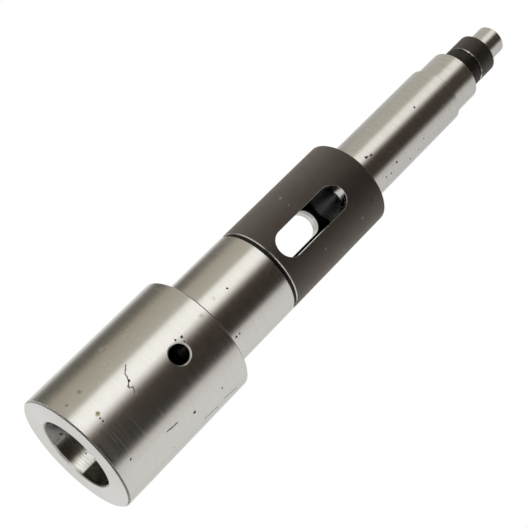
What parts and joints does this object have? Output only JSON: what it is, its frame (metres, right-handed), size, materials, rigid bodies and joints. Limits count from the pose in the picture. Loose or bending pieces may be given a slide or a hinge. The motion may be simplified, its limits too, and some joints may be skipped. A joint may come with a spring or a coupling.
{
  "type": "stepped spindle shaft",
  "caption": "Stepped steel spindle with a taper socket, a drift slot and ground bearing journals.",
  "frame": {"origin": "centre of the bored end's face, on the spindle's axis", "axes": "+Z along the axis from the bored end to the tip; -Y out of the coolant hole and the drift slot's front side"},
  "size_m": [0.04, 0.04, 0.1995],
  "materials": {
    "ground_steel": "hardened and ground bright, with the middle section and the collar near the tip blackened"
  },
  "bodies": {
    "root": {"spindle": "ground_steel"}
  },
  "joints": []
}
